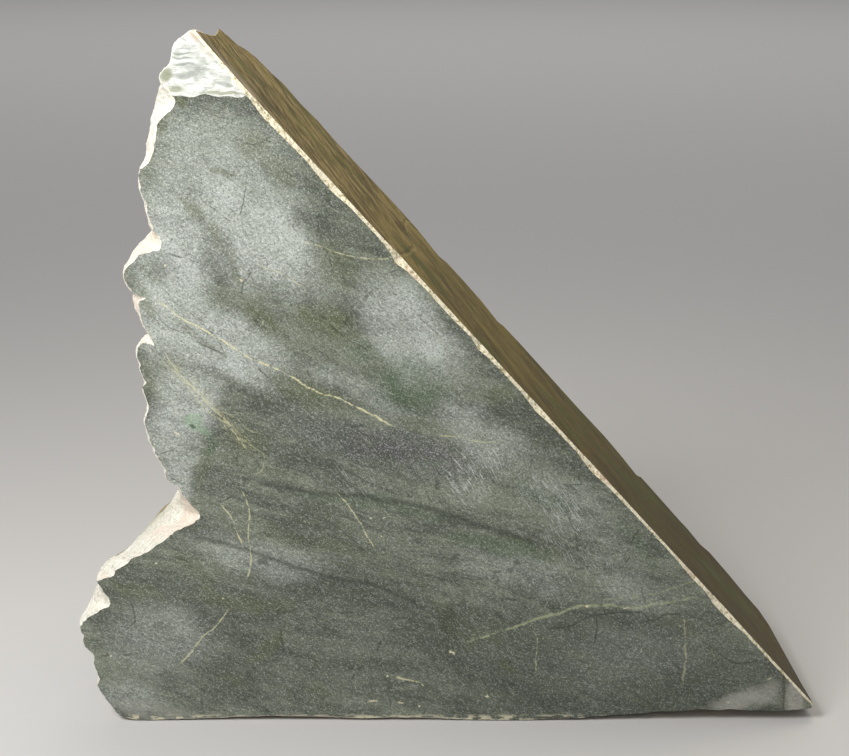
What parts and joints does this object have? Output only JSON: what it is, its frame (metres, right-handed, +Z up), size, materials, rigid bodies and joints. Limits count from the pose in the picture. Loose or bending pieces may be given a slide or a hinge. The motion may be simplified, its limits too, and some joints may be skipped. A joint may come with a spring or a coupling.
{
  "type": "raw jade boulder",
  "caption": "Rough nephrite jade boulder piece: flat sawn base, tall sawn triangular front, slanted sawn side, broken and weathered skin on the left and back.",
  "frame": {"origin": "middle of the bounding box, on the plane of the sawn base", "axes": "+Z up from the base, +X right along the sawn front, +Y from the sawn front to the weathered back"},
  "size_m": [0.2374, 0.08, 0.2205],
  "materials": {
    "nephrite": "sawn and rough, unpolished, grey-green with olive and pale veins"
  },
  "bodies": {
    "root": {"jade_boulder": "nephrite"}
  },
  "joints": []
}
